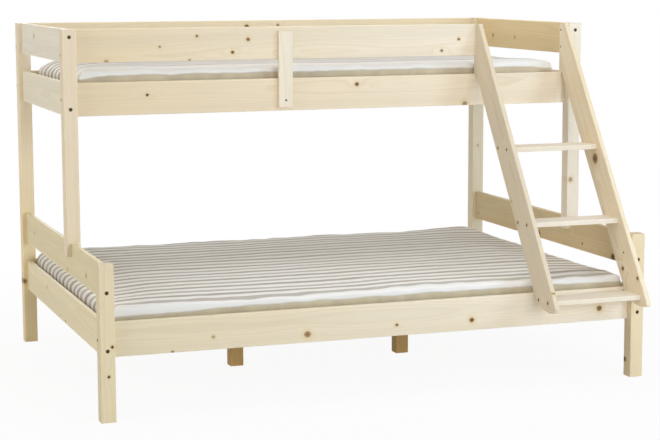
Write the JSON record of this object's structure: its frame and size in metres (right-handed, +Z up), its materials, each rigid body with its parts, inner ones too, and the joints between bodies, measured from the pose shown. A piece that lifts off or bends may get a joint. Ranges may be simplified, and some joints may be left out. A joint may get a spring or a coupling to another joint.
{
  "type": "bunk bed",
  "caption": "Wide wooden bunk bed with a narrower bunk above at the back, board guard rails, a leaning plank ladder at the front right and a striped mattress on each level.",
  "frame": {"origin": "on the floor, below the middle of the whole bed with its ladder", "axes": "+X along the bed, from the plain end to the ladder end; +Y from the ladder and the low front to the high back; +Z up"},
  "size_m": [2.08, 1.6512, 1.318],
  "materials": {
    "pine_posts": "planed, untreated",
    "pine_boards": "planed, untreated",
    "pine_base": "planed, untreated",
    "pine_ladder": "planed, untreated",
    "ticking": "woven striped cotton",
    "bolts": "dark browned",
    "screws": "dark zinc plated",
    "dowels": "fluted beech"
  },
  "bodies": {
    "root": {"post_back_left": "pine_posts", "post_back_right": "pine_posts", "post_front_left": "pine_posts", "post_front_right": "pine_posts", "upper_post_left": "pine_posts", "upper_post_right": "pine_posts", "lower_rail_left": "pine_boards", "lower_rail_right": "pine_boards", "lower_guard_left": "pine_boards", "lower_guard_right": "pine_boards", "lower_rail_front": "pine_boards", "lower_rail_back": "pine_boards", "upper_rail_left": "pine_boards", "upper_rail_right": "pine_boards", "upper_guard_left": "pine_boards", "upper_guard_right": "pine_boards", "upper_rail_front": "pine_boards", "upper_rail_back": "pine_boards", "upper_guard_front": "pine_boards", "upper_guard_back": "pine_boards", "guard_cleat": "pine_boards", "lower_ledger_front": "pine_base", "lower_ledger_back": "pine_base", "upper_ledger_front": "pine_base", "upper_ledger_back": "pine_base", "centre_beam": "pine_base", "centre_leg_left": "pine_base", "centre_leg_right": "pine_base", "lower_slats": "pine_base", "upper_slats": "pine_base", "ladder_stile_left": "pine_ladder", "ladder_stile_right": "pine_ladder", "ladder_tread_low": "pine_ladder", "ladder_tread_middle": "pine_ladder", "ladder_tread_high": "pine_ladder", "lower_mattress": "ticking", "upper_mattress": "ticking", "end_board_bolts": "bolts", "side_board_bolts": "bolts", "barrel_nuts": "bolts", "tongue_screws": "screws", "cleat_screws": "screws", "ledger_screws": "screws", "slat_screws_lower": "screws", "slat_screws_upper": "screws", "beam_screws": "screws", "leg_screws": "screws", "tread_screws": "screws", "ladder_screws": "screws", "dowels": "dowels"}
  },
  "joints": []
}
